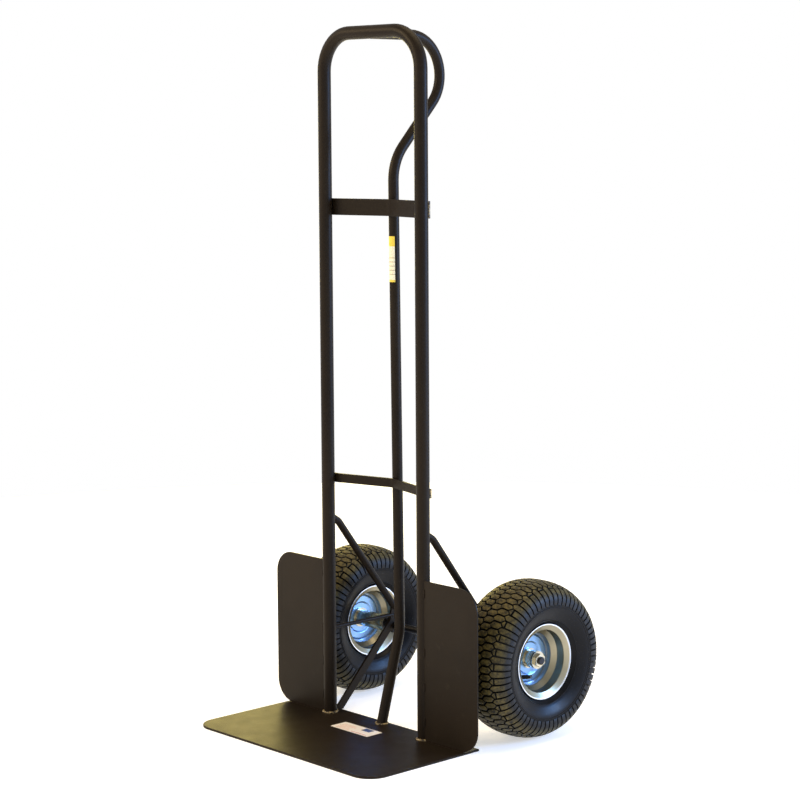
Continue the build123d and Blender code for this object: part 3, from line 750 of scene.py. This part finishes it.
def weld_bead(path, up, size, closed=False):
    """Rippled fillet bead along a path; up gives the direction that the bead faces."""
    points, faces = [], []
    around = BEAD_SIDES
    count = len(path)
    for i, here in enumerate(path):
        if closed:
            ahead = path[(i + 1) % count] - path[i - 1]
        else:
            ahead = path[min(i + 1, count - 1)] - path[max(i - 1, 0)]
        ahead.normalize()
        ripple = RIPPLE_LOW + RIPPLE_RISE * abs(sin(i * pi / RIPPLE_STEPS))
        wander = 1 + sum(share * sin(i * rate) for share, rate in WANDER)
        taper = 1.0
        if not closed:
            taper = min(1.0, END_SHARE + END_RISE * min(i, count - 1 - i))
        radius = size * ripple * wander * taper
        out = up(here).normalized()
        side = ahead.cross(out).normalized()
        for k in range(around):
            turn = 2 * pi * k / around
            points.append(here + (out * cos(turn) + side * sin(turn)) * radius)
    rings = count if closed else count - 1
    for i in range(rings):
        for k in range(around):
            a, b = i * around + k, i * around + (k + 1) % around
            c, d = (i + 1) % count * around + (k + 1) % around, (i + 1) % count * around + k
            faces.append([a, b, c, d])
    if not closed:
        faces.append(list(range(around)))
        faces.append([(count - 1) * around + k for k in range(around)])
    return points, faces


def ring_path(x, y, z, radius, count=110):
    """Points round an upright tube."""
    turns = [2 * pi * k / count for k in range(count)]
    return [Vector((x + radius * cos(turn), y + radius * sin(turn), z)) for turn in turns]


def run_path(start, end, count):
    """Points of a straight run."""
    a, b = Vector(start), Vector(end)
    return [a.lerp(b, k / (count - 1)) for k in range(count)]


def join(name, beads, node, finish="weld_coat"):
    """One weld piece from several beads, in place of the plain fillets."""
    points, faces = [], []
    for bead_points, bead_faces in beads:
        start = len(points)
        points += bead_points
        faces += [[start + i for i in face] for face in bead_faces]
    return to_mesh(name, points, faces, [FINISH[finish]], "frame", node)


def add_welds():
    """Weld beads at the feet of the tubes, along the guards and behind the crossbar ends."""
    frame_low, frame_high = (Vector(c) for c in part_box("main_frame"))
    foot_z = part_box("toe_plate")[1][2] + BEAD_LIFT
    tube_r = (frame_high.y - frame_low.y) / 2
    stile_x = frame_high.x - tube_r
    feet = []
    for x in (-stile_x, stile_x):
        ring = ring_path(x, 0, foot_z, tube_r + STILE_BEAD_OUT)
        feet.append(weld_bead(ring, lambda p, x=x: Vector((p.x - x, p.y, STILE_LEAN)), STILE_BEAD, True))
    handle_r = -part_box("centre_handle")[0][0]
    ring = ring_path(0, HANDLE_FOOT_Y, foot_z, handle_r + HANDLE_BEAD_OUT, count=90)
    feet.append(weld_bead(ring, lambda p: Vector((p.x, p.y - HANDLE_FOOT_Y, HANDLE_LEAN)), HANDLE_BEAD, True))
    join("foot_weld_beads", feet, "foot_welds")

    guard_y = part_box("side_plate_right")[0][1]
    seam_x = stile_x + sqrt(tube_r ** 2 - guard_y ** 2) + SEAM_BEAD_OUT
    seam_y = guard_y - SEAM_BEAD_FORWARD
    seams = []
    for x in (-seam_x, seam_x):
        for bottom in GUARD_STITCHES:
            run = run_path((x, seam_y, bottom), (x, seam_y, bottom + STITCH_L), 30)
            seams.append(weld_bead(run, lambda p: Vector((0, -1, 0)), SEAM_BEAD))
    join("guard_weld_beads", seams, "guard_welds", "powder_coat")

    end_y = tube_r - CROSSBAR_BEAD_IN
    ends = []
    for node in ("upper_crossbar", "lower_crossbar"):
        low, high = (Vector(c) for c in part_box(node))
        for side in (-1, 1):
            x = side * (stile_x + CROSSBAR_BEAD_X)
            run = run_path((x, end_y, low.z + CROSSBAR_BEAD_END), (x, end_y, high.z - CROSSBAR_BEAD_END), 28)
            ends.append(weld_bead(run, lambda p, s=side: Vector((s, 0.3, 0)), CROSSBAR_BEAD))
    join("crossbar_weld_beads", ends, "crossbar_welds")


for side_name in ("left", "right"):
    add_tyre(side_name, f"{side_name}_wheel")
add_welds()

low, high = (Vector(c) for c in CAD_BOX)
middle = (low + high) / 2
for light in LIGHTS:
    name, at, target, size, power, colour = light
    add_area_light(name, at, target or middle, size, power, colour)
